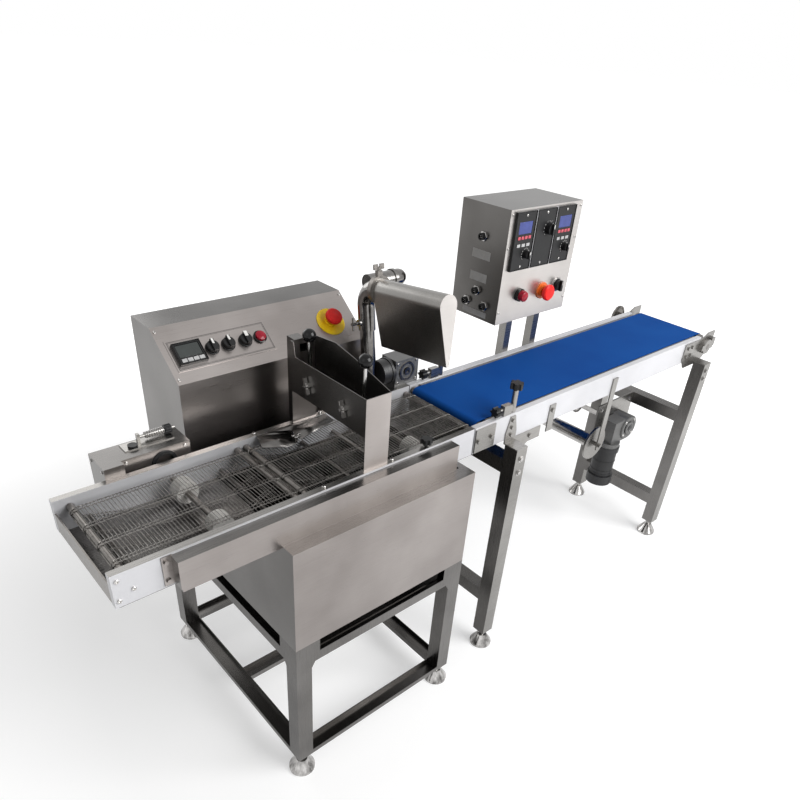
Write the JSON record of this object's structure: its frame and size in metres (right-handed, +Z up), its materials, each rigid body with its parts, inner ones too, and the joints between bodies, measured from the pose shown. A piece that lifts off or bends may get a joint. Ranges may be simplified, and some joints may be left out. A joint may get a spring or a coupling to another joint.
{
  "type": "chocolate enrober",
  "caption": "Chocolate enrober: heated tank on a tube stand, wire mesh conveyor under a curtain box and air nozzle, and a blue belt conveyor with a control box.",
  "frame": {"origin": "centre of the bounding box's footprint, on the floor under the levelling feet", "axes": "+X along the conveyors from infeed to discharge, +Y from the operator's side to the back, +Z up"},
  "size_m": [2.001, 0.6388, 1.184],
  "materials": {
    "stainless": "brushed",
    "bright_steel": "polished",
    "roller_steel": "satin",
    "rail_aluminium": "satin anodised",
    "white_plastic": "satin",
    "black_plastic": "satin",
    "red_plastic": "glossy",
    "lamp_red": "glossy",
    "yellow_plastic": "satin",
    "belt_blue": "matte",
    "gear_grey": "satin",
    "motor_black": "satin"
  },
  "bodies": {
    "machine": {"stand_frame": "stainless", "levelling_feet": "bright_steel", "tank": "stainless", "chocolate_pan": "stainless", "wheel_gearmotor": "gear_grey", "drip_trough": "stainless", "mesh_front_rail": "rail_aluminium", "mesh_back_rail": "rail_aluminium", "mesh_cross_ties": "roller_steel", "infeed_mesh": "bright_steel", "coating_mesh": "bright_steel", "drive_box": "stainless", "tension_adjuster": "bright_steel", "mesh_gearmotor": "gear_grey", "curtain_box": "stainless", "riser_pipe": "stainless", "housing_shell": "stainless", "temperature_controller": "black_plastic", "pilot_lamps": "lamp_red", "stop_bases": "yellow_plastic", "air_pipe": "bright_steel", "belt_front_rail": "rail_aluminium", "belt_back_rail": "rail_aluminium", "slider_bed": "stainless", "blue_belt": "belt_blue", "rail_plates": "stainless", "near_leg_frame": "stainless", "far_leg_frame": "stainless", "rail_brackets": "bright_steel", "clamp_knobs": "black_plastic", "worm_gearbox": "gear_grey", "belt_motor": "motor_black", "drive_chain": "roller_steel", "control_box": "stainless", "speed_controllers": "black_plastic"},
    "infeed_drive": {"infeed_drums": "white_plastic"},
    "infeed_nose": {"infeed_nose_roller": "roller_steel"},
    "infeed_end": {"infeed_end_roller": "roller_steel"},
    "coating_drive": {"coating_drive_roller": "roller_steel"},
    "coating_nose": {"coating_nose_roller": "roller_steel"},
    "support": {"support_drums": "white_plastic"},
    "stirrer": {"stirring_wheel": "bright_steel"},
    "belt_drive": {"drive_roller": "roller_steel"},
    "belt_nose": {"belt_nose_roller": "roller_steel"},
    "gearbox_output": {"output_shaft": "bright_steel"},
    "gate_front": {"front_gate": "bright_steel"},
    "gate_rear": {"rear_gate": "bright_steel"},
    "knob_heater": {"heater_knob": "black_plastic"},
    "knob_wheel": {"wheel_knob": "black_plastic"},
    "knob_infeed": {"infeed_knob": "black_plastic"},
    "stop_housing": {"housing_stop_button": "red_plastic"},
    "swivel_arm": {"nozzle_arm": "bright_steel", "nozzle_clamp": "bright_steel"},
    "nozzle": {"air_nozzle": "stainless"},
    "speed_left": {"left_speed_knob": "black_plastic"},
    "speed_middle": {"middle_speed_knob": "black_plastic"},
    "speed_right": {"right_speed_knob": "black_plastic"},
    "stop_control": {"control_stop_button": "red_plastic"},
    "selector": {"control_selector": "black_plastic"},
    "spindle": {"paper_spindle": "bright_steel"}
  },
  "joints": [
    {"name": "infeed_drive_spin", "type": "hinge", "parent": "machine", "child": "infeed_drive", "pos_m": [-0.7675, -0.1105, 0.7341], "axis": [0, 1, 0], "continuous": true},
    {"name": "infeed_nose_spin", "type": "hinge", "parent": "machine", "child": "infeed_nose", "pos_m": [-0.9715, -0.1105, 0.7501], "axis": [0, 1, 0], "continuous": true},
    {"name": "infeed_end_spin", "type": "hinge", "parent": "machine", "child": "infeed_end", "pos_m": [-0.6174, -0.1105, 0.7501], "axis": [0, 1, 0], "continuous": true},
    {"name": "coating_drive_spin", "type": "hinge", "parent": "machine", "child": "coating_drive", "pos_m": [-0.1275, -0.1105, 0.7501], "axis": [0, 1, 0], "continuous": true},
    {"name": "coating_nose_spin", "type": "hinge", "parent": "machine", "child": "coating_nose", "pos_m": [-0.5956, -0.1105, 0.7501], "axis": [0, 1, 0], "continuous": true},
    {"name": "support_spin", "type": "hinge", "parent": "machine", "child": "support", "pos_m": [-0.2795, -0.1105, 0.7341], "axis": [0, 1, 0], "continuous": true},
    {"name": "stirrer_spin", "type": "hinge", "parent": "machine", "child": "stirrer", "pos_m": [-0.3175, 0.0555, 0.61], "axis": [0, 1, 0], "continuous": true},
    {"name": "belt_drive_spin", "type": "hinge", "parent": "machine", "child": "belt_drive", "pos_m": [0.9525, -0.1105, 0.7357], "axis": [0, 1, 0], "continuous": true},
    {"name": "belt_nose_spin", "type": "hinge", "parent": "machine", "child": "belt_nose", "pos_m": [-0.0996, -0.1105, 0.7537], "axis": [0, 1, 0], "continuous": true},
    {"name": "gearbox_output_spin", "type": "hinge", "parent": "machine", "child": "gearbox_output", "pos_m": [0.8305, -0.0075, 0.418], "axis": [0, 1, 0], "continuous": true},
    {"name": "gate_front_lift", "type": "slide", "parent": "machine", "child": "gate_front", "axis": [0, 0, 1], "range_m": [0, 0.02]},
    {"name": "gate_rear_lift", "type": "slide", "parent": "machine", "child": "gate_rear", "axis": [0, 0, 1], "range_m": [0, 0.02]},
    {"name": "knob_heater_turn", "type": "hinge", "parent": "machine", "child": "knob_heater", "pos_m": [-0.5805, 0.15549, 0.92468], "axis": [0, -0.6067, 0.795], "range_deg": [-135, 135]},
    {"name": "knob_wheel_turn", "type": "hinge", "parent": "machine", "child": "knob_wheel", "pos_m": [-0.5415, 0.15549, 0.92468], "axis": [0, -0.6067, 0.795], "range_deg": [-135, 135]},
    {"name": "knob_infeed_turn", "type": "hinge", "parent": "machine", "child": "knob_infeed", "pos_m": [-0.4985, 0.15549, 0.92468], "axis": [0, -0.6067, 0.795], "range_deg": [-135, 135]},
    {"name": "stop_housing_press", "type": "slide", "parent": "machine", "child": "stop_housing", "axis": [0, 0.6067, -0.795], "range_m": [0, 0.005], "stiffness_N_per_m": 400},
    {"name": "arm_swivel", "type": "hinge", "parent": "machine", "child": "swivel_arm", "pos_m": [-0.2115, 0.0505, 0.74], "axis": [0, 0.1219, 0.9925], "range_deg": [-25, 60]},
    {"name": "nozzle_roll", "type": "hinge", "parent": "swivel_arm", "child": "nozzle", "pos_m": [-0.2115, 0.03449, 1.0281], "axis": [0, -0.9925, 0.1219], "range_deg": [-30, 30]},
    {"name": "speed_left_turn", "type": "hinge", "parent": "machine", "child": "speed_left", "pos_m": [0.2005, -0.0395, 1.074], "axis": [0, -1, 0], "range_deg": [-135, 135]},
    {"name": "speed_middle_turn", "type": "hinge", "parent": "machine", "child": "speed_middle", "pos_m": [0.2805, -0.0395, 1.128], "axis": [0, -1, 0], "range_deg": [-135, 135]},
    {"name": "speed_right_turn", "type": "hinge", "parent": "machine", "child": "speed_right", "pos_m": [0.3605, -0.0395, 1.074], "axis": [0, -1, 0], "range_deg": [-135, 135]},
    {"name": "stop_control_press", "type": "slide", "parent": "machine", "child": "stop_control", "axis": [0, 1, 0], "range_m": [0, 0.005], "stiffness_N_per_m": 400},
    {"name": "selector_turn", "type": "hinge", "parent": "machine", "child": "selector", "pos_m": [0.3685, -0.0395, 0.97], "axis": [0, -1, 0], "range_deg": [-45, 45]},
    {"name": "spindle_spin", "type": "hinge", "parent": "machine", "child": "spindle", "pos_m": [0.4435, -0.1105, 0.53], "axis": [0, 1, 0], "continuous": true}
  ],
  "couplings": [
    {"joint": "infeed_nose_spin", "follows": "infeed_drive_spin", "ratio": 2.7582},
    {"joint": "infeed_end_spin", "follows": "infeed_drive_spin", "ratio": 2.7582},
    {"joint": "coating_nose_spin", "follows": "coating_drive_spin", "ratio": 1},
    {"joint": "support_spin", "follows": "coating_drive_spin", "ratio": 0.36255},
    {"joint": "belt_nose_spin", "follows": "belt_drive_spin", "ratio": 2.4634},
    {"joint": "gearbox_output_spin", "follows": "belt_drive_spin", "ratio": 1}
  ]
}
